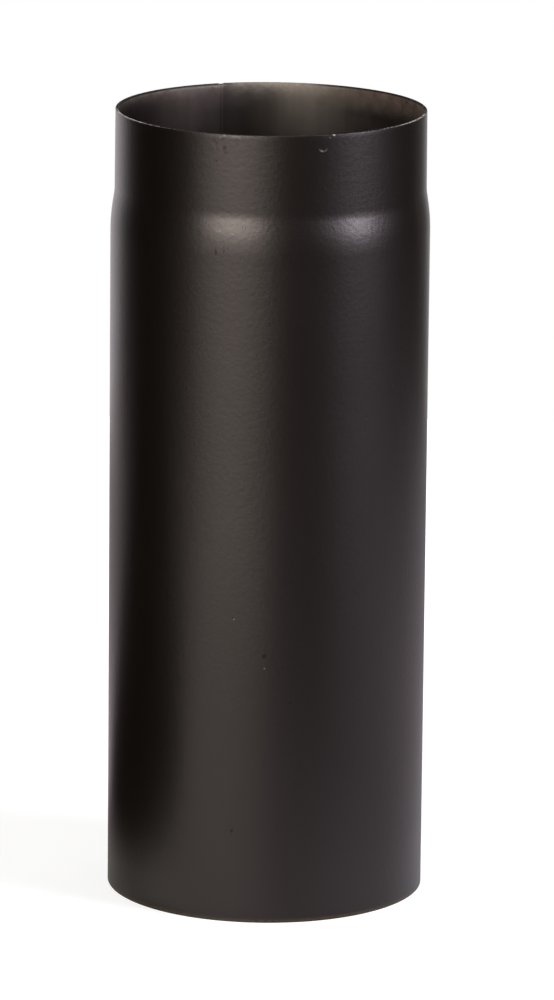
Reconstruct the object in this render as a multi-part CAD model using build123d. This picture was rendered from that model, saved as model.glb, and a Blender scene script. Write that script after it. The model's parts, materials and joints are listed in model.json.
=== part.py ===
from build123d import *
import math
import os

# A length of stove pipe: steel sheet rolled to a tube, butt-welded along one line and reduced at one end, so
# that the reduced end plugs into the wide end of the next length. Millimetres. The pipe's axis is Z, the wide
# end stands on Z = 0 and the reduced end points up.

# The tube
BORE_DIAMETER = 130.0  # inside the wide end, which is the pipe's nominal size
WALL = 1.2  # thickness of the sheet
LENGTH = 330.0  # from end to end
EDGE_RADIUS = 0.15  # sheet edges with their burr taken off

# The reduced end
SPIGOT_GAP = 0.5  # play all round between this end and the bore that it plugs into
SPIGOT_LENGTH = 33.2  # from its rim down to the crease
SWAGE_HEIGHT = 11.1  # from the crease down to the corner where the cone would meet the body
CREASE_RADIUS = 22.0  # outside, where the spigot meets the cone
SHOULDER_SHARE = 0.5  # share of the cone that is rounded off into the body

# The weld
SEAM_ANGLE = 109.4  # place of the weld round the axis, in degrees from +X towards +Y
BEAD_WIDTH = 1.3  # penetration bead on the inside
BEAD_HEIGHT = 0.2
CRATER_WIDTH = 2.7  # dip in the rim where the weld ends
CRATER_DEPTH = 0.3

# Worked out from the sizes above
body_radius = BORE_DIAMETER / 2 + WALL
spigot_radius = BORE_DIAMETER / 2 - SPIGOT_GAP
crease_height = LENGTH - SPIGOT_LENGTH
shoulder_height = crease_height - SWAGE_HEIGHT
swage_angle = math.atan2(body_radius - spigot_radius, SWAGE_HEIGHT)
cone_slant = math.hypot(body_radius - spigot_radius, SWAGE_HEIGHT)
shoulder_radius = SHOULDER_SHARE * cone_slant / math.tan(swage_angle / 2)
seam_plane = Plane.XZ.rotated((0, 0, SEAM_ANGLE))  # through the axis and the weld: x outwards, y up


def wall_line(depth):
    """The line that runs up the wall at a depth below its outside, as radius and height."""
    drop = depth * math.tan(swage_angle / 2)
    return FilletPolyline(
        (body_radius - depth, 0),
        (body_radius - depth, shoulder_height - drop),
        (spigot_radius - depth, crease_height - drop),
        (spigot_radius - depth, LENGTH),
        radius=(shoulder_radius - depth, CREASE_RADIUS + depth),
    )


def rolled_tube():
    """The tube with its reduced end: a wall of even thickness, turned about the axis."""
    outside = wall_line(0)
    inside = wall_line(WALL)
    foot = Line(outside @ 0, inside @ 0)
    rim = Line(outside @ 1, inside @ 1)
    section = make_face(outside.edges() + inside.edges() + foot.edges() + rim.edges())
    tube = revolve(Plane.XZ * section, Axis.Z)
    foot_edges = tube.edges().filter_by_position(Axis.Z, 0, 0)
    rim_edges = tube.edges().filter_by_position(Axis.Z, LENGTH, LENGTH)
    return fillet(foot_edges + rim_edges, min(EDGE_RADIUS, WALL / 3))


def weld_bead():
    """The low bead that the weld leaves inside, run up along the wall from rim to rim."""
    path = seam_plane * wall_line(WALL)
    half = BEAD_WIDTH / 2
    root = WALL / 2
    crown = ThreePointArc((-half, 0), (0, BEAD_HEIGHT), (half, 0))
    sides = Polyline((half, 0), (half, -root), (-half, -root), (-half, 0))
    across = Plane(path @ 0, x_dir=-seam_plane.z_dir, z_dir=(0, 0, 1))
    return sweep(across * make_face(crown.edges() + sides.edges()), path)


def weld_crater():
    """The round dip that the end of the weld leaves in the rim of the spigot."""
    radius = (CRATER_WIDTH**2 / 4 + CRATER_DEPTH**2) / (2 * CRATER_DEPTH)
    reach = WALL + 2 * BEAD_HEIGHT
    axis_height = LENGTH - CRATER_DEPTH + radius
    drill = Rot(0, 90, 0) * Cylinder(radius, 2 * reach)
    return seam_plane * Pos(spigot_radius - WALL / 2, axis_height) * drill


stove_pipe = rolled_tube() + weld_bead() - weld_crater()
stove_pipe.label = "stove_pipe"

os.makedirs("parts", exist_ok=True)
export_step(stove_pipe, "parts/stove_pipe.step")
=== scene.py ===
import json
import math

import bpy
import numpy as np
from mathutils import Matrix, Vector


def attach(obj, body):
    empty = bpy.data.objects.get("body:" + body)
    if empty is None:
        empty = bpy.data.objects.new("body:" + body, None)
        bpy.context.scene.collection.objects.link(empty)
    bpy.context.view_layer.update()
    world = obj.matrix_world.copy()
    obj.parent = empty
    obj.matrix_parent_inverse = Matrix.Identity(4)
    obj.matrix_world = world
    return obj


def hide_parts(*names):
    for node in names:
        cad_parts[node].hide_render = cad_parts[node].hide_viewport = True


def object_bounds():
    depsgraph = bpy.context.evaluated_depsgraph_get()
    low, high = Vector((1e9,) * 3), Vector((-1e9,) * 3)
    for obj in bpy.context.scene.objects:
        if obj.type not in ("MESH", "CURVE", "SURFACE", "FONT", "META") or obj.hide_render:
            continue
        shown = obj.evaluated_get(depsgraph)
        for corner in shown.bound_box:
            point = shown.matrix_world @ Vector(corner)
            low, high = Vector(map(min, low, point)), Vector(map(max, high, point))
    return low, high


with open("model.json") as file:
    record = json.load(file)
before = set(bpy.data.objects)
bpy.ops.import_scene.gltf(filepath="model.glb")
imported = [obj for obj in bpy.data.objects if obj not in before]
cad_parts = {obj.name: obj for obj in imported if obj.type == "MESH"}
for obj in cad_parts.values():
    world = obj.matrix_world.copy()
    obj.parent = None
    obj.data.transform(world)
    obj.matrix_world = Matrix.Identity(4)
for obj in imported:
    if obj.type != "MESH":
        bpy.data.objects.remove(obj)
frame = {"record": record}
cad_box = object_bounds()

# Sizes of the pipe in metres, from the frame where it has them
MM = 0.001
low, high = cad_box
mounts = {mount["name"]: mount["dims"] for mount in frame["record"]["mounts"]}
LENGTH = high.z - low.z
BODY_RADIUS = min(-low.x, high.x, -low.y, high.y)
SPIGOT_RADIUS = mounts["spigot"]["r_mm"] * MM
WALL = BODY_RADIUS - mounts["socket"]["r_mm"] * MM
SPIGOT_LENGTH = 33.2 * MM
SPIGOT_TAPER = 0.2 * MM  # the spigot narrows a little towards its rim
SWAGE_HEIGHT = 11.1 * MM
CREASE_RADIUS = 22.0 * MM
SHOULDER_SHARE = 0.5
EDGE_RADIUS = 0.15 * MM
RIM_RADIUS = 0.24 * MM  # outer edge of the rim, which the shears rolled over

# The swage runs a little up and down round the pipe
SWAGE_LOBES = 3
SWAGE_WAVE = 0.5 * MM
SWAGE_PHASE = math.radians(-20)  # a place where it runs highest, from the front to the right
WAVE_FADE = 20 * MM  # height over which the wave dies out, above and below
WAVE_BELOW = 30 * MM  # where it starts, below the shoulder
WAVE_CLEAR = 8 * MM  # the rim itself is level down to here

# The weld, behind and a little to the left, in the angle from +X towards +Y
SEAM_ANGLE = math.radians(109.4)
BEAD_WIDTH = 1.3 * MM
BEAD_HEIGHT = 0.06 * MM
BEAD_UNEVEN = 0.25  # share of its height by which the bead swells and thins
BEAD_SWELL = 9 * MM
FACE_WIDTH = 2.4 * MM  # the weld's flattened face on the outside
FACE_HEIGHT = 0.06 * MM
PEAK_HEIGHT = 0.28 * MM  # sheet ends that the rolls left a little flat, so the seam stands out
PEAK_REACH = 7.0 * MM
CRATER_WIDTH = 2.7 * MM
CRATER_DEPTH = 0.3 * MM
CRATER_REACH = 1.5 * MM  # how far below the rim the crater is felt

# How finely the mesh is divided
BODY_ROWS, SWAGE_ROWS, SPIGOT_ROWS = 36, 48, 18
SWAGE_ROWS_BELOW = 8 * MM  # close rows start this far below the shoulder
SWAGE_ROWS_ABOVE = 3 * MM  # and end this far above the crease
CORNER_POINTS = 6
SEAM_COLUMNS, OTHER_COLUMNS = 41, 300
SEAM_COLUMNS_REACH = 3 * MM  # close columns to either side of the weld

# Places of the materials in the pipe's list
OUTSIDE_COAT, INSIDE_COAT, EDGE_COAT = range(3)

# Places worked out from the sizes
TOP = LENGTH / MM  # height of the rim in millimetres
CREASE_Z = LENGTH - SPIGOT_LENGTH
SHOULDER_Z = CREASE_Z - SWAGE_HEIGHT
SWAGE_STEP = BODY_RADIUS - SPIGOT_RADIUS
SWAGE_ANGLE = math.atan2(SWAGE_STEP, SWAGE_HEIGHT)
HALF_TURN = math.tan(SWAGE_ANGLE / 2)
SHOULDER_RADIUS = SHOULDER_SHARE * math.hypot(SWAGE_STEP, SWAGE_HEIGHT) / HALF_TURN


# The mesh

def wall_radius(height, depth):
    """Radius of the wall at some heights, at a depth below its outside."""
    drop = depth * HALF_TURN
    shoulder = SHOULDER_RADIUS - depth
    crease = CREASE_RADIUS + depth
    shoulder_start = SHOULDER_Z - drop - shoulder * HALF_TURN
    crease_end = CREASE_Z - drop + crease * HALF_TURN
    shoulder_end = shoulder_start + shoulder * math.sin(SWAGE_ANGLE)
    crease_start = crease_end - crease * math.sin(SWAGE_ANGLE)
    over_shoulder = np.clip(height - shoulder_start, 0, shoulder_end - shoulder_start)
    under_crease = np.clip(crease_end - height, 0, crease_end - crease_start)
    on_shoulder = BODY_RADIUS - depth - shoulder + np.sqrt(shoulder**2 - over_shoulder**2)
    in_crease = SPIGOT_RADIUS - depth + crease - np.sqrt(crease**2 - under_crease**2)
    on_cone = SPIGOT_RADIUS - depth + (CREASE_Z - drop - height) * math.tan(SWAGE_ANGLE)
    below = np.where(height <= shoulder_end, on_shoulder, on_cone)
    return np.where(height >= crease_start, in_crease, below)


def row_heights():
    """Heights of the rows of vertices up the wall: close together round the swage, wider elsewhere."""
    swage_low = SHOULDER_Z - SWAGE_ROWS_BELOW
    swage_high = CREASE_Z + SWAGE_ROWS_ABOVE
    body_rows = np.linspace(EDGE_RADIUS, swage_low, BODY_ROWS + 1, endpoint=False)[1:]
    swage_rows = np.linspace(swage_low, swage_high, SWAGE_ROWS, endpoint=False)
    spigot_rows = np.linspace(swage_high, LENGTH - RIM_RADIUS, SPIGOT_ROWS, endpoint=False)
    return np.concatenate([body_rows, swage_rows, spigot_rows])


def corner(radius, height, size, quarter):
    """A rounded corner of the section, inside the point at a radius and height."""
    turn = np.radians(np.linspace(0, 90, CORNER_POINTS) + 90 * quarter)
    side = 1 if quarter in (0, 3) else -1
    rise = 1 if quarter in (0, 1) else -1
    return [radius - side * size + size * np.cos(turn), height - rise * size + size * np.sin(turn)]


def wall_section():
    """The wall cut through: radius, height and coat of each point, from the foot's outer edge round."""
    rise = row_heights()
    outer_foot = corner(BODY_RADIUS, 0, EDGE_RADIUS, 3)
    outer_wall = [wall_radius(rise, 0), rise]
    outer_rim = corner(SPIGOT_RADIUS, LENGTH, RIM_RADIUS, 0)
    inner_rim = corner(SPIGOT_RADIUS - WALL, LENGTH, EDGE_RADIUS, 1)
    inner_wall = [wall_radius(rise[::-1], WALL), rise[::-1]]
    inner_foot = corner(BODY_RADIUS - WALL, 0, EDGE_RADIUS, 2)
    outside = np.concatenate([outer_foot, outer_wall, outer_rim], axis=1)
    inside = np.concatenate([inner_rim, inner_wall, inner_foot], axis=1)
    coat = np.repeat([OUTSIDE_COAT, INSIDE_COAT], [outside.shape[1], inside.shape[1]])
    coat[[outside.shape[1] - 1, -1]] = EDGE_COAT
    radius, height = np.concatenate([outside, inside], axis=1)
    return radius, height, coat


def column_angles():
    """Angles of the columns of vertices round the pipe, with close ones over the weld."""
    fine = np.linspace(-SEAM_COLUMNS_REACH, SEAM_COLUMNS_REACH, SEAM_COLUMNS) / BODY_RADIUS
    rest = np.linspace(fine[-1], 2 * math.pi + fine[0], OTHER_COLUMNS + 2)[1:-1]
    return SEAM_ANGLE + np.concatenate([fine, rest])


def hump(distance, width):
    """A round-topped ridge of a width, one high on its middle line."""
    return np.clip(1 - (2 * distance / width) ** 2, 0, 1)


def ease(value):
    """A smooth step from 0 to 1."""
    t = np.clip(value, 0, 1)
    return t * t * (3 - 2 * t)


def wall_points(radius, height, coat, angle):
    """The section turned about the axis, with the weld's forms and the swage's slight wave."""
    from_seam = (angle - SEAM_ANGLE + math.pi) % (2 * math.pi) - math.pi
    across = np.abs(from_seam * BODY_RADIUS)[:, None]
    bead = BEAD_HEIGHT * hump(across, BEAD_WIDTH) * (1 + BEAD_UNEVEN * np.sin(height / BEAD_SWELL))
    face = FACE_HEIGHT * hump(across, FACE_WIDTH)
    peak = PEAK_HEIGHT * np.exp(-across / PEAK_REACH)
    taper = SPIGOT_TAPER * np.clip((height - CREASE_Z) / SPIGOT_LENGTH, 0, 1)
    r = radius + peak + np.where(coat == INSIDE_COAT, -bead, face) - taper
    from_front = angle[:, None] + math.pi / 2
    wave = SWAGE_WAVE * (np.cos(SWAGE_LOBES * (from_front - SWAGE_PHASE)) - 1)
    below_rim = ease((LENGTH - WAVE_CLEAR - height) / WAVE_FADE)
    near_swage = ease((height - SHOULDER_Z + WAVE_BELOW) / WAVE_FADE) * below_rim
    near_rim = np.clip((height - LENGTH + CRATER_REACH) / CRATER_REACH, 0, 1)
    z = height + wave * near_swage - CRATER_DEPTH * hump(across, CRATER_WIDTH) * near_rim
    return np.stack([r * np.cos(angle)[:, None], r * np.sin(angle)[:, None], z], axis=-1)


def pipe_mesh():
    """The whole wall as one closed mesh, unwrapped by its true lengths."""
    radius, height, coat = wall_section()
    angle = column_angles()
    points = wall_points(radius, height, coat, angle)
    columns, rows = points.shape[:2]
    column, row = np.meshgrid(np.arange(columns), np.arange(rows), indexing="ij")
    right, above = (column + 1) % columns, (row + 1) % rows
    corners = [column * rows + row, right * rows + row, right * rows + above, column * rows + above]
    faces = np.stack(corners, axis=-1).reshape(-1, 4)
    mesh = bpy.data.meshes.new("pipe_wall")
    mesh.from_pydata(points.reshape(-1, 3).tolist(), [], faces.tolist())
    mesh.polygons.foreach_set("material_index", np.tile(coat, columns).astype(np.int32))
    mesh.polygons.foreach_set("use_smooth", np.ones(len(faces), bool))
    step = np.hypot(np.diff(radius, append=radius[0]), np.diff(height, append=height[0]))
    u = np.append(angle - angle[0], 2 * math.pi) / (2 * math.pi)
    v = np.append(0, np.cumsum(step)) / step.sum()
    round_way = np.stack([u[column], u[column + 1], u[column + 1], u[column]], axis=-1)
    section_way = np.stack([v[row], v[row], v[row + 1], v[row + 1]], axis=-1)
    unwrapped = mesh.uv_layers.new(name="OFBake")
    unwrapped.data.foreach_set("uv", np.stack([round_way, section_way], axis=-1).ravel())
    mesh.update()
    return mesh


# Node trees

class Nodes:
    """A node tree being built. Values handed to it are numbers, tuples or outputs of other nodes."""

    def __init__(self, tree):
        self.tree = tree

    def add(self, kind, inputs, **settings):
        node = self.tree.nodes.new("ShaderNode" + kind)
        for name, value in settings.items():
            setattr(node, name, value)
        for name, value in inputs.items():
            self.feed(node.inputs[name], value)
        return node.outputs

    def feed(self, socket, value):
        if isinstance(value, bpy.types.NodeSocket):
            self.tree.links.new(value, socket)
        else:
            socket.default_value = value

    def math(self, operation, a, b=0.0):
        return self.add("Math", {0: a, 1: b}, operation=operation)[0]

    def times(self, product, *others):
        """The product of numbers."""
        for other in others:
            product = self.math("MULTIPLY", product, other)
        return product

    def plus(self, total, *others):
        """The sum of numbers."""
        for other in others:
            total = self.math("ADD", total, other)
        return total

    def vector(self, operation, a, b=(0, 0, 0)):
        outputs = self.add("VectorMath", {0: a, 1: b}, operation=operation)
        return outputs["Value"] if operation in ("LENGTH", "DOT_PRODUCT") else outputs["Vector"]

    def split(self, vector):
        """The three parts of a vector."""
        return self.add("SeparateXYZ", {0: vector})

    def grey(self, value):
        """A number as a colour without hue."""
        return self.add("CombineXYZ", {0: value, 1: value, 2: value})[0]

    def reach(self, where, centre, half_sizes):
        """Distance from the middle of an ellipse, 1 on its outline."""
        offset = self.vector("SUBTRACT", where, centre)
        return self.vector("LENGTH", self.vector("DIVIDE", offset, half_sizes))

    def step(self, value, start, stop, low=0.0, high=1.0):
        """Goes smoothly from low to high while the value goes from start to stop."""
        limits = {"From Min": start, "From Max": stop, "To Min": low, "To Max": high}
        outputs = self.add("MapRange", {"Value": value, **limits}, interpolation_type="SMOOTHSTEP")
        return outputs["Result"]

    def scale(self, value, low, high):
        """Takes a value of 0 to 1 to low to high."""
        return self.add("MapRange", {"Value": value, "To Min": low, "To Max": high})["Result"]

    def noise(self, where, size, detail=2.0):
        """Cloudy noise of about 0 to 1, with clouds of a size in millimetres."""
        return self.add("TexNoise", {"Vector": where, "Scale": 1 / size, "Detail": detail})["Fac"]

    def relief(self, height):
        """The normal of a surface with a height in millimetres."""
        return self.add("Bump", {"Distance": MM, "Height": height})["Normal"]

    def mix(self, share, a, b):
        """Colour a, changed to colour b by a share."""
        first, second = ((*c, 1) if isinstance(c, tuple) else c for c in (a, b))
        return self.add("Mix", {0: share, 6: first, 7: second}, data_type="RGBA")[2]

    def cover(self, colour, *coats):
        """A colour under coats, each with its share and its own colour."""
        for share, coat in coats:
            colour = self.mix(share, colour, coat)
        return colour

    def blend(self, share, a, b):
        """Number a, changed to number b by a share."""
        return self.add("Mix", {0: share, 2: a, 3: b}, data_type="FLOAT")[0]


# Materials. Lengths in them are millimetres, and colours are linear. Seen from the front, x runs to the
# right, y to the back and z up.

WHITE = (1.0, 1.0, 1.0)

# The paint
PAINT_BLACK = (0.0037, 0.0024, 0.0016)
PAINT_DEEP_BLACK = (0.0029, 0.0019, 0.0012)
RUBBED_RIM = (0.035, 0.030, 0.026)
# A brownish band along the foot
BROWN_FOOT_BAND = (0.034, 0.022, 0.008)
# Colour of the scuffs, and of the painted shade on the front of the rim
SCUFF_AND_RIM_SHADE = (0.009, 0.008, 0.007)
CHIPPED = (0.24, 0.22, 0.20)
PAINT_GLOSS = (0.30, 0.35)  # roughness, which drifts between these
# Roughness of the scuffs, and of the painted shade on the front of the rim
SCUFF_AND_RIM_SHADE_ROUGHNESS = 0.45
CHIPPED_ROUGHNESS = 0.60
PAINT_SPECULAR = 0.56
PAINT_SPECULAR_TINT = (1.0, 0.86, 0.85, 1)

# Heights of the paint's relief
PEEL = 0.055
RIPPLE = 0.025
CRESCENT = 0.06
CHEVRON = 0.02

# Marks on the paint: degrees from the front to the right, then height, half width and half height in
# millimetres, and strength
DARK_MARKS = [
    (-17.0, 324.5, 0.6, 0.9, 0.45),
    (-16.6, 322.3, 0.7, 1.0, 0.3),
    (-19.9, 325.3, 0.4, 2.2, 0.3),
    (-20.9, 327.4, 1.0, 1.6, 0.16),
    (-19.9, 319.2, 0.35, 0.5, 0.6),
    (-17.6, 328.2, 0.8, 0.5, 0.3),
    (-12.5, 328.0, 1.0, 0.5, 0.25),
    (-9.6, 317.8, 0.35, 0.45, 0.35),
    (-19.4, 282.1, 0.45, 1.7, 0.65),
    (-16.4, 284.3, 0.5, 0.9, 0.35),
    (-16.4, 282.5, 0.5, 0.7, 0.5),
    (-14.9, 283.6, 0.4, 0.5, 0.3),
    (-22.7, 286.7, 0.4, 0.4, 0.5),
    (-11.9, 129.6, 0.7, 0.6, 0.6),
    (-0.8, 113.9, 1.0, 1.0, 0.6),
    (8.9, 94.1, 0.9, 0.4, 0.4),
    (-11.8, 39.1, 0.6, 0.8, 0.6),
    (-10.1, 292.0, 0.3, 0.9, 0.3),
    (-8.9, 292.0, 0.3, 0.9, 0.3),
    (1.5, 295.2, 0.8, 0.5, 0.3),
]
LIGHT_MARKS = [
    (18.5, 323.4, 0.7, 0.4, 0.35),
    (21.6, 328.8, 0.4, 0.3, 0.2),
    (23.2, 329.8, 0.7, 0.35, 1.0),
    (-17.0, 329.4, 0.9, 0.35, 0.35),
    (-18.4, 328.9, 0.6, 0.3, 0.25),
    (-13.2, 329.3, 1.3, 0.35, 0.35),
    (-11.6, 328.8, 0.5, 0.3, 0.25),
    (-20.3, 324.4, 0.3, 0.3, 0.2),
    (-18.7, 290.5, 1.5, 0.25, 0.28),
    (-13.4, 289.4, 1.1, 0.3, 0.26),
    (-11.6, 129.3, 0.4, 0.4, 0.7),
    (-0.5, 108.7, 0.5, 0.3, 0.3),
]
MARK_EDGE = (1.3, 0.5)  # where a mark starts and where it is full, as shares of its half sizes
MARK_WOBBLE = 1.4  # how far its outline is shaken
CHIP = (19.1, 325.0)  # where a knock has raised a crescent of paint, as degrees and height
CHIP_RADIUS = 1.7
CHIP_STRENGTH = 0.22

# The inside
SCALE = (0.146, 0.122, 0.111)
DARK_SCALE = (0.108, 0.092, 0.085)
RED_TINT = (1.06, 0.965, 0.93)  # of the scale to the left
BROWN_DUST = (0.064, 0.040, 0.030)
RUSTY_DUST = (0.155, 0.106, 0.082)
PALE_DUST = (0.275, 0.226, 0.186)
SPECKS = (0.22, 0.20, 0.18)
DARK_LIP = (0.012, 0.010, 0.009)
DUST_ROUGHNESS = 0.75
SCALE_ROUGHNESS = 0.34
BLOTCH_RELIEF = 0.03
SPECK_RELIEF = 0.05

# The sheared edges
DARK_EDGE = (0.014, 0.011, 0.009)
BROWN_EDGE = (0.022, 0.016, 0.012)
# Bright burr, and the painted highlight at the front sides of the rim
BURR_AND_GLINT = (0.42, 0.39, 0.35)
EDGE_ROUGHNESS = 0.7
# Roughness of the burr and of the painted highlight at the front sides
BURR_AND_GLINT_ROUGHNESS = 0.5


def new_material(name):
    """An empty material, as itself, its nodes and its shader's inputs."""
    material = bpy.data.materials.new(name)
    material.use_nodes = True
    return material, Nodes(material.node_tree), material.node_tree.nodes["Principled BSDF"].inputs


def in_space(nodes):
    """Where a point of the pipe lies."""
    return nodes.vector("MULTIPLY", nodes.add("TexCoord", {})["Object"], (1 / MM, 1 / MM, 1 / MM))


def unrolled(nodes, space):
    """Where a point lies on the unrolled wall, as (round, up, 0)."""
    x, y, z = nodes.split(space)
    angle = nodes.math("ARCTAN2", x, nodes.times(y, -1.0))
    return nodes.add("CombineXYZ", {0: nodes.times(angle, BODY_RADIUS / MM), 1: z})[0]


def from_mark(nodes, flat, angle, height, half_width, half_height):
    """Distance on the unrolled wall from a mark's middle, 1 on its outline."""
    centre = (math.radians(angle) * BODY_RADIUS / MM, height, 0)
    return nodes.reach(flat, centre, (half_width, half_height, 1))


def marked(nodes, flat, marks):
    """How strongly a point of the unrolled wall is covered by a list of marks."""
    cover = 0.0
    for *shape, strength in marks:
        mark = nodes.step(from_mark(nodes, flat, *shape), *MARK_EDGE, 0.0, strength)
        cover = nodes.math("MAXIMUM", cover, mark)
    return cover


def weld_line(nodes, space):
    """Distance across the weld, to the right seen from the front, and whether a point is on its side."""
    across = nodes.vector("DOT_PRODUCT", space, (math.sin(SEAM_ANGLE), -math.cos(SEAM_ANGLE), 0))
    outwards = nodes.vector("DOT_PRODUCT", space, (math.cos(SEAM_ANGLE), math.sin(SEAM_ANGLE), 0))
    return across, nodes.step(outwards, 0.0, 1.0)


def painted_rim_shade(nodes, x, y, z):
    """Painted shade on the front of the rolled rim, which dims its highlight: more to the right, and not
    at the sides.
    """
    at_rim = nodes.step(z, TOP - 0.45, TOP - 0.1)
    in_front = nodes.step(y, 0.0, -20.0)
    rightwards = nodes.step(x, -25.0, 25.0, 0.25, 0.5)
    off_sides = nodes.step(nodes.math("ABSOLUTE", x), 52.0, 36.0)
    return nodes.times(at_rim, in_front, rightwards, off_sides)


def raised_crescent(nodes, flat, z, ragged):
    """The broken crescent of paint that a knock has raised."""
    height = CHIP[1]
    from_ring = nodes.math("SUBTRACT", from_mark(nodes, flat, *CHIP, 1, 1), CHIP_RADIUS)
    ring = nodes.step(nodes.math("ABSOLUTE", from_ring), 0.55, 0.1)
    lower_half = nodes.step(z, height - 0.2, height - 1.3)
    broken = nodes.step(ragged, 0.35, 0.62, 0.15, 1.0)
    return nodes.times(ring, lower_half, broken)


def weld_chevrons(nodes, space, z):
    """The ripples of the weld's face under the paint."""
    across, on_weld = weld_line(nodes, space)
    aside = nodes.math("ABSOLUTE", across)
    ripples = nodes.math("SINE", nodes.plus(nodes.times(z, 5.2), aside))
    return nodes.times(ripples, nodes.step(aside, 1.4, 0.9), on_weld)


def outside_paint():
    """Satin black stove paint: a fine orange peel, uneven gloss, scuffs, the rim's edge rubbed through, a
    brownish band along the foot, and painted shade on the front of the rim.
    """
    material, nodes, shader = new_material("outside_paint")
    space = in_space(nodes)
    flat = unrolled(nodes, space)
    x, y, z = nodes.split(space)
    cloud = nodes.noise(space, 38.0, 3.0)
    ripple = nodes.noise(space, 7.0, 1.0)
    peel = nodes.noise(space, 1.9, 2.0)
    ragged = nodes.noise(space, 0.9, 3.0)
    swirl = nodes.add("TexNoise", {"Vector": space, "Scale": 0.9})["Color"]
    shake = nodes.vector("SUBTRACT", swirl, (0.5, 0.5, 0.5))
    shake = nodes.vector("MULTIPLY", shake, (MARK_WOBBLE, MARK_WOBBLE, 0))
    shaken = nodes.vector("ADD", flat, shake)
    crescent = raised_crescent(nodes, flat, z, ragged)
    # dark: the scuff marks, and the painted shade on the front of the rim
    dark = nodes.math("MAXIMUM", marked(nodes, shaken, DARK_MARKS), painted_rim_shade(nodes, x, y, z))
    bared = nodes.times(crescent, CHIP_STRENGTH)
    light = nodes.math("MAXIMUM", marked(nodes, shaken, LIGHT_MARKS), bared)
    rim = nodes.times(nodes.step(z, TOP - 0.5, TOP - 0.05), nodes.step(ragged, 0.45, 0.65))
    # a brownish band along the foot, broken up by noise
    foot = nodes.times(nodes.step(z, 1.9, 0.8), nodes.step(ragged, 0.25, 0.6))
    black = nodes.mix(cloud, PAINT_BLACK, PAINT_DEEP_BLACK)
    colour = nodes.cover(black, (rim, RUBBED_RIM), (foot, BROWN_FOOT_BAND), (dark, SCUFF_AND_RIM_SHADE), (light, CHIPPED))
    rough = nodes.blend(dark, nodes.scale(cloud, *PAINT_GLOSS), SCUFF_AND_RIM_SHADE_ROUGHNESS)
    rough = nodes.blend(light, rough, CHIPPED_ROUGHNESS)
    height = nodes.plus(
        nodes.times(peel, PEEL),
        nodes.times(ripple, RIPPLE),
        nodes.times(crescent, CRESCENT),
        nodes.times(weld_chevrons(nodes, space, z), CHEVRON),
    )
    nodes.feed(shader["Base Color"], colour)
    nodes.feed(shader["Metallic"], dark)
    nodes.feed(shader["Roughness"], rough)
    nodes.feed(shader["Normal"], nodes.relief(height))
    shader["Specular IOR Level"].default_value = PAINT_SPECULAR
    shader["Specular Tint"].default_value = PAINT_SPECULAR_TINT
    return material


def scale_tone_and_painted_light(nodes, space, x, depth):
    """Brightness of the bare scale: dimmer to the left, painted shade near the rim, a painted highlight
    beside the weld, and faint random banding.
    """
    sideways = nodes.step(x, -32.0, -8.0, 0.65, 1.0)
    # painted shade: the scale is dimmer near the rim
    downwards = nodes.step(depth, 4.0, 18.0, 0.66, 0.77)
    # painted highlight: the scale is lighter beside the weld, where a lamp's reflection runs
    by_weld = nodes.times(
        nodes.step(x, -34.0, -23.0),
        nodes.step(x, -5.0, -14.0),
        nodes.step(depth, 13.0, 7.0),
    )
    bands = nodes.noise(nodes.vector("MULTIPLY", space, (1, 1, 0.15)), 6.0, 2.0)
    banded = nodes.step(bands, 0.3, 0.7, 0.92, 1.08)
    return nodes.times(sideways, downwards, nodes.scale(by_weld, 1.0, 1.4), banded)


def rim_dust(nodes, space, x, depth, blotch):
    """Cover of the scale near the rim: pale dust all round, brown to the right, specks by the weld."""
    grime = nodes.noise(space, 1.8, 2.0)
    speck = nodes.noise(space, 0.7, 2.0)
    across, on_weld = weld_line(nodes, space)
    beside_weld = nodes.times(nodes.step(across, -0.3, 0.6), nodes.step(across, 5.0, 1.5), on_weld)
    pale = nodes.times(
        nodes.math("EXPONENT", nodes.times(depth, -0.35)),
        nodes.step(x, -30.0, 5.0, 0.4, 1.0),
        nodes.scale(blotch, 0.45, 1.35),
        nodes.scale(grime, 0.5, 1.5),
        nodes.scale(beside_weld, 1.0, 0.8),
    )
    brown = nodes.times(
        nodes.step(depth, 12.0, 2.0, 0.12, 1.0),
        nodes.step(x, 14.0, 42.0),
        nodes.scale(blotch, 0.3, 1.3),
        nodes.scale(grime, 0.6, 1.3),
    )
    specks = nodes.times(
        nodes.step(depth, 2.2, 0.4),
        nodes.step(x, -10.0, -16.0),
        nodes.step(x, -36.0, -26.0),
        nodes.step(speck, 0.56, 0.68),
    )
    return pale, brown, specks


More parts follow.
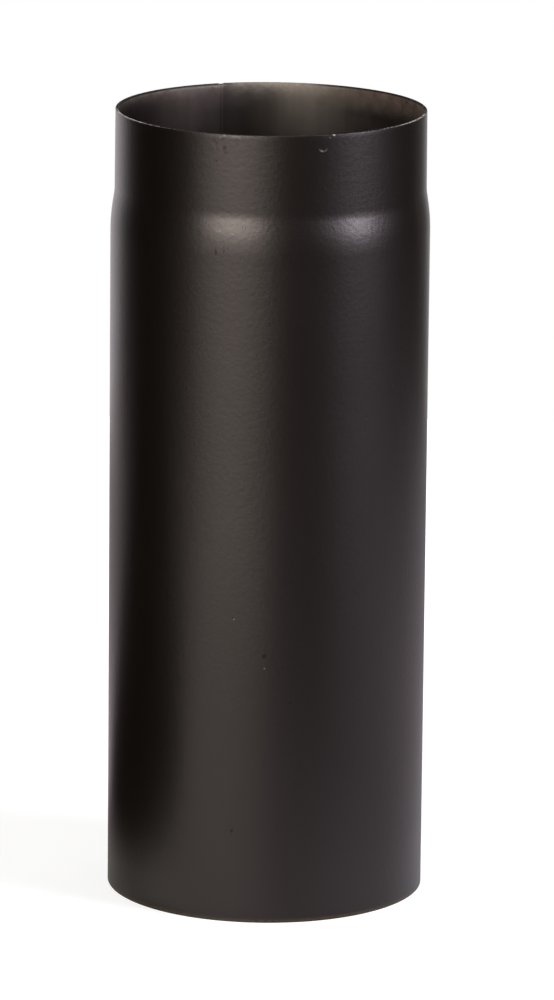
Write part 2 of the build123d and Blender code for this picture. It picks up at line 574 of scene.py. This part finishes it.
def inside_scale():
    """The bare inside: dull dark mill scale, dust towards the rim, a dark lip at its sides, painted shade
    near the rim and a painted highlight beside the weld.
    """
    material, nodes, shader = new_material("inside_scale")
    space = in_space(nodes)
    x, _, z = nodes.split(space)
    depth = nodes.math("SUBTRACT", TOP, z)
    blotch = nodes.noise(space, 5.0, 3.0)
    pale, brown, specks = rim_dust(nodes, space, x, depth, blotch)
    rusty = nodes.step(x, 12.0, 42.0)
    lip = nodes.times(nodes.step(depth, 0.9, 0.4), nodes.step(nodes.math("ABSOLUTE", x), 10.0, 28.0))
    scale = nodes.mix(nodes.noise(space, 11.0, 4.0), SCALE, DARK_SCALE)
    # the scale's colour carries painted shade near the rim and a painted highlight beside the weld
    scale = nodes.vector("MULTIPLY", scale, nodes.grey(scale_tone_and_painted_light(nodes, space, x, depth)))
    scale = nodes.vector("MULTIPLY", scale, nodes.mix(nodes.step(x, -8.0, -36.0), WHITE, RED_TINT))
    colour = nodes.cover(
        scale,
        (brown, BROWN_DUST),
        (nodes.times(pale, rusty), RUSTY_DUST),
        (nodes.times(pale, nodes.scale(rusty, 1.0, 0.0)), PALE_DUST),
        (specks, SPECKS),
        (lip, DARK_LIP),
    )
    dusty = nodes.math("MAXIMUM", brown, nodes.math("MAXIMUM", pale, specks))
    bare = nodes.math("SUBTRACT", 1.0, dusty)
    height = nodes.plus(nodes.times(blotch, BLOTCH_RELIEF), nodes.times(specks, SPECK_RELIEF))
    nodes.feed(shader["Base Color"], colour)
    nodes.feed(shader["Metallic"], bare)
    nodes.feed(shader["Roughness"], nodes.scale(bare, DUST_ROUGHNESS, SCALE_ROUGHNESS))
    nodes.feed(shader["Normal"], nodes.relief(height))
    return material


def cut_edge():
    """The sheared edges of the sheet: dull and dark, with bright burr at random, and a painted highlight
    of more bright burr at the front sides.
    """
    material, nodes, shader = new_material("cut_edge")
    space = in_space(nodes)
    x, y, _ = nodes.split(space)
    aside = nodes.math("ABSOLUTE", x)
    # painted highlight: bright burr is likelier at the front sides, where the rim's edge catches the light
    front_sides = nodes.times(nodes.step(aside, 40.0, 56.0), nodes.step(y, 5.0, -15.0))
    chance = nodes.plus(nodes.noise(space, 1.1, 3.0), nodes.times(front_sides, 0.25))
    burr_and_glint = nodes.step(chance, 0.6, 0.72)
    worn = nodes.step(nodes.noise(space, 2.3, 2.0), 0.35, 0.6, 0.4, 1.0)
    stained = nodes.mix(nodes.noise(space, 6.0, 2.0), DARK_EDGE, BROWN_EDGE)
    nodes.feed(shader["Base Color"], nodes.mix(nodes.times(burr_and_glint, worn), stained, BURR_AND_GLINT))
    nodes.feed(shader["Roughness"], nodes.scale(burr_and_glint, EDGE_ROUGHNESS, BURR_AND_GLINT_ROUGHNESS))
    shader["Specular IOR Level"].default_value = 0.0
    return material


pipe = bpy.data.objects.new("painted_pipe", pipe_mesh())
bpy.context.scene.collection.objects.link(pipe)
pipe.data.materials.append(outside_paint())
pipe.data.materials.append(inside_scale())
pipe.data.materials.append(cut_edge())
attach(pipe, "root")
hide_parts("stove_pipe")


# Studio, in metres and degrees

WARM = (1.0, 0.985, 0.905)
COOL = (0.875, 0.893, 1.0)

# Lamps: azimuth, elevation, half width, half height, radiance, colour and distance
LAMPS = {
    "left_softbox": (-26.3, 14, 21, 10, 12.4, WARM, 2.0),
    "left_low_glow": (-26.3, -7, 29, 6, 2.5, WARM, 4.0),
    "right_softbox": (67, 20, 15.8, 16.5, 18.0, COOL, 2.0),
    "right_low_glow": (67, -7.8, 22, 4, 0.55, COOL, 4.0),
    "right_rim_light": (140, 30, 20, 12, 1.5, WHITE, 4.0),
    "right_edge_glow": (150, -3, 20, 12, 0.15, WARM, 4.0),
    "top_softbox": (0, 89, 22, 22, 2.4, WHITE, 0.85),
}

# The backdrop that reflections show
BACKDROP_SIDE = (-168, -2)  # azimuth and elevation of its middle
BACKDROP_EDGE = (43, 14)  # degrees from its middle where it starts and where it is full
BACKDROP_FLATTEN = (1, 1, 0.6)  # makes it taller than wide
BACKDROP_LEVELS = (0.007, 1.22)  # light of the dim room and of the backdrop
BACKDROP_COLOUR = (1.0, 0.93, 0.96)

# The floor
FLOOR_RADIUS = 0.9
FLOOR_SIDES = 96
FLOOR_GREY = 0.45  # what the camera sees takes its white from the glow, and its shadow from this
FLOOR_GLOW = (0.72, 1.0)  # next to the pipe and away from it
# Painted shade on the paper, seen only in reflections: a dark patch on the left, and dimmer ground in
# front to the right
SHADE_PATCH_CENTRE, SHADE_PATCH_HALF_SIZES = (-0.575, 0.04, 0), (0.46, 0.30, 1)
DIM_CENTRE, DIM_HALF_SIZES = (0.45, -0.60, 0), (0.80, 0.60, 1)
# the painted shadow next to the pipe is left out in this direction
LEFT_FRONT = -32  # azimuth in which the paper stays light up to the pipe
LEFT_FRONT_EDGE = (45, 12)  # degrees from there where this starts and where it is full
FRONT_TINTS = (1.0, 1.0, 0.93), (1.0, 0.98, 1.03)  # to the left and to the right
BACK_TINTS = (1.0, 0.87, 0.89), (1.0, 0.91, 0.925)


def direction(azimuth, elevation):
    """Unit vector from the pipe, with azimuth 0 towards the camera and 90 to the camera's right."""
    a, e = math.radians(azimuth), math.radians(elevation)
    return Vector((math.sin(a) * math.cos(e), -math.cos(a) * math.cos(e), math.sin(e)))


def cosines(angles):
    """Cosines of angles in degrees."""
    return [math.cos(math.radians(angle)) for angle in angles]


def softbox(name, azimuth, elevation, half_width, half_height, radiance, colour, distance):
    """A lamp that faces the pipe's shoulder, with half sizes as seen from there, and a radiance."""
    lamp = bpy.data.lights.new(name, "AREA")
    lamp.shape = "ELLIPSE"
    lamp.size = 2 * distance * math.tan(math.radians(half_width))
    lamp.size_y = 2 * distance * math.tan(math.radians(half_height))
    area = math.pi / 4 * lamp.size * lamp.size_y
    lamp.energy = radiance * math.pi * area
    lamp.color = colour
    box = bpy.data.objects.new(name, lamp)
    bpy.context.scene.collection.objects.link(box)
    aim = direction(azimuth, elevation)
    box.location = Vector((0, 0, SHOULDER_Z)) + aim * distance
    box.rotation_euler = aim.to_track_quat("Z", "Y").to_euler()
    box.visible_camera = False


def seen_directly(nodes):
    """1 for rays from the camera, through glass too, and 0 for the others."""
    path = nodes.add("LightPath", {})
    return nodes.math("MAXIMUM", path["Is Camera Ray"], path["Is Transmission Ray"])


def studio_world():
    """White to the camera; around the pipe a dim room with a white backdrop behind."""
    world = bpy.data.worlds.new("studio")
    world.use_nodes = True
    nodes = Nodes(world.node_tree)
    background = world.node_tree.nodes["Background"].inputs
    towards = nodes.vector("MULTIPLY", nodes.add("TexCoord", {})["Generated"], BACKDROP_FLATTEN)
    towards = nodes.vector("NORMALIZE", towards)
    facing = nodes.vector("DOT_PRODUCT", towards, tuple(direction(*BACKDROP_SIDE)))
    backdrop = nodes.step(facing, *cosines(BACKDROP_EDGE), *BACKDROP_LEVELS)
    seen = seen_directly(nodes)
    nodes.feed(background["Strength"], nodes.blend(seen, backdrop, 1.0))
    nodes.feed(background["Color"], nodes.mix(seen, BACKDROP_COLOUR, WHITE))
    return world


def reflected_paper(nodes, place):
    """How light the paper is in reflections, with painted light and shade.

    A painted patch of shade lies on the left. Painted shade makes the paper dimmer in front, to the right
    and far away, and a painted shadow dims it next to the pipe, but not at the left front; a painted pool
    of light makes it lighter behind on the left.
    """
    x, y, _ = nodes.split(place)
    away = nodes.vector("LENGTH", place)
    # painted shade: a dark patch on the left
    shade_patch = nodes.step(nodes.reach(place, SHADE_PATCH_CENTRE, SHADE_PATCH_HALF_SIZES), 0.93, 1.08, 0.012, 0.9)
    front = nodes.step(nodes.reach(place, DIM_CENTRE, DIM_HALF_SIZES), 0.5, 1.15, 0.3, 1.0)
    right = nodes.step(x, 0.06, 0.28, 1.0, 0.66)
    far = nodes.blend(nodes.step(y, 0.25, 0.5), nodes.step(away, 0.35, 0.65, 1.0, 0.7), 0.88)
    bearing = nodes.vector("NORMALIZE", place)
    ahead = nodes.vector("DOT_PRODUCT", bearing, tuple(direction(LEFT_FRONT, 0)))
    ahead = nodes.step(ahead, *cosines(LEFT_FRONT_EDGE))
    # painted shadow of the pipe: dimmer next to it, except at the left front
    near = nodes.blend(ahead, nodes.step(away, 0.15, 0.42, 0.76, 1.0), 1.0)
    # painted pool of light behind on the left
    back_left = nodes.times(
        nodes.step(y, 0.06, 0.14),
        nodes.step(x, 0.0, -0.06),
        nodes.step(away, 0.4, 0.2),
    )
    return nodes.times(shade_patch, front, right, far, near, nodes.scale(back_left, 1.0, 1.35))


def floor_paper():
    """White paper to the camera, with the pipe's shadow; in reflections it carries painted light and
    shade, and is a little tinted.
    """
    material, nodes, shader = new_material("floor_paper")
    seen = seen_directly(nodes)
    place = nodes.add("NewGeometry", {})["Position"]
    x, y, _ = nodes.split(place)
    side = nodes.step(x, -0.1, 0.1)
    front_tint = nodes.mix(side, *FRONT_TINTS)
    back_tint = nodes.mix(side, *BACK_TINTS)
    tint = nodes.mix(nodes.step(y, -0.05, 0.12), front_tint, back_tint)
    lightness = nodes.blend(seen, reflected_paper(nodes, place), FLOOR_GREY)
    glow = nodes.step(nodes.vector("LENGTH", place), 0.12, 0.6, *FLOOR_GLOW)
    colour = nodes.vector("MULTIPLY", nodes.mix(seen, tint, WHITE), nodes.grey(lightness))
    nodes.feed(shader["Base Color"], colour)
    nodes.feed(shader["Emission Strength"], nodes.times(seen, glow))
    shader["Emission Color"].default_value = (*WHITE, 1)
    shader["Roughness"].default_value = 1.0
    shader["Specular IOR Level"].default_value = 0.0
    return material


for lamp_name, lamp_settings in LAMPS.items():
    softbox(lamp_name, *lamp_settings)

scene = bpy.context.scene
scene.world = studio_world()
bpy.ops.mesh.primitive_circle_add(vertices=FLOOR_SIDES, radius=FLOOR_RADIUS, fill_type="NGON")
floor = bpy.context.object
floor.name = "floor"
floor.data.materials.append(floor_paper())

# Camera: a long lens looking down on the pipe, with the photograph's slight lean; angles in radians
CAMERA_DISTANCE = 2.78
CAMERA_HEIGHT = 0.819
CAMERA_YAW = 0.0014
CAMERA_PITCH = 0.2313
CAMERA_ROLL = 0.0100
FOCAL_PIXELS = 6838
FRAME_HEIGHT_PIXELS = 1000
SENSOR_WIDTH = 36.0

camera = bpy.data.objects.new("camera", bpy.data.cameras.new("camera"))
scene.collection.objects.link(camera)
scene.camera = camera
camera.data.sensor_width = SENSOR_WIDTH
camera.data.lens = FOCAL_PIXELS / FRAME_HEIGHT_PIXELS * SENSOR_WIDTH
camera.data.clip_end = 50.0
turn = Matrix.Rotation(-CAMERA_YAW, 4, "Z")
tilt = Matrix.Rotation(math.pi / 2 - CAMERA_PITCH, 4, "X")
lean = Matrix.Rotation(CAMERA_ROLL, 4, "Z")
stand = Matrix.Translation((0, -CAMERA_DISTANCE, CAMERA_HEIGHT))
camera.matrix_world = stand @ turn @ tilt @ lean

scene.view_settings.view_transform = "Standard"
